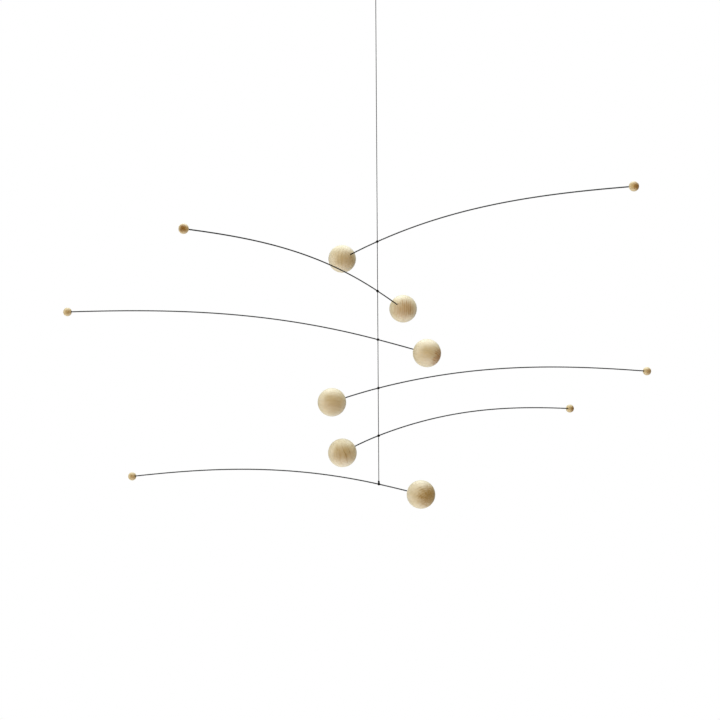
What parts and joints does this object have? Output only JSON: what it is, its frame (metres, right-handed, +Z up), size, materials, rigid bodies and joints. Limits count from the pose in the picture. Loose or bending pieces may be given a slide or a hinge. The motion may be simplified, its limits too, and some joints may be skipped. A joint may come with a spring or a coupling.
{
  "type": "hanging mobile sculpture",
  "caption": "Hanging mobile: bowed black wire arms tied down a thread, each balancing a large wooden ball close to the thread against a small one far out, and free to turn.",
  "frame": {"origin": "where a hook bears inside the hanging loop at the top of the thread", "axes": "+Z up along the hanging thread, +X to the right and +Y away from a viewer in front"},
  "size_m": [0.6476, 0.5946, 0.5589],
  "materials": {
    "black_thread": "matte",
    "black_wire": "satin",
    "pale_wood": "satin",
    "tan_wood": "satin"
  },
  "bodies": {
    "suspension": {"hanging_loop": "black_thread", "loop_knot": "black_thread", "thread_1": "black_thread", "thread_2": "black_thread", "thread_3": "black_thread", "thread_4": "black_thread", "thread_5": "black_thread", "thread_6": "black_thread"},
    "arm_1": {"arm_1_wire": "black_wire", "arm_1_tie": "black_thread", "arm_1_large_ball": "pale_wood", "arm_1_small_ball": "tan_wood"},
    "arm_2": {"arm_2_wire": "black_wire", "arm_2_tie": "black_thread", "arm_2_large_ball": "pale_wood", "arm_2_small_ball": "tan_wood"},
    "arm_3": {"arm_3_wire": "black_wire", "arm_3_tie": "black_thread", "arm_3_large_ball": "pale_wood", "arm_3_small_ball": "tan_wood"},
    "arm_4": {"arm_4_wire": "black_wire", "arm_4_tie": "black_thread", "arm_4_large_ball": "pale_wood", "arm_4_small_ball": "tan_wood"},
    "arm_5": {"arm_5_wire": "black_wire", "arm_5_tie": "black_thread", "arm_5_large_ball": "pale_wood", "arm_5_small_ball": "tan_wood"},
    "arm_6": {"arm_6_wire": "black_wire", "arm_6_end_knot": "black_thread", "arm_6_large_ball": "pale_wood", "arm_6_small_ball": "tan_wood"}
  },
  "joints": [
    {"name": "arm_1_swivel", "type": "hinge", "parent": "suspension", "child": "arm_1", "pos_m": [0, 0, -0.285], "axis": [0, 0, 1], "continuous": true},
    {"name": "arm_2_swivel", "type": "hinge", "parent": "suspension", "child": "arm_2", "pos_m": [0, 0, -0.336], "axis": [0, 0, 1], "continuous": true},
    {"name": "arm_3_swivel", "type": "hinge", "parent": "suspension", "child": "arm_3", "pos_m": [0, 0, -0.386], "axis": [0, 0, 1], "continuous": true},
    {"name": "arm_4_swivel", "type": "hinge", "parent": "suspension", "child": "arm_4", "pos_m": [0, 0, -0.436], "axis": [0, 0, 1], "continuous": true},
    {"name": "arm_5_swivel", "type": "hinge", "parent": "suspension", "child": "arm_5", "pos_m": [0, 0, -0.485], "axis": [0, 0, 1], "continuous": true},
    {"name": "arm_6_swivel", "type": "hinge", "parent": "suspension", "child": "arm_6", "pos_m": [0, 0, -0.535], "axis": [0, 0, 1], "continuous": true}
  ]
}
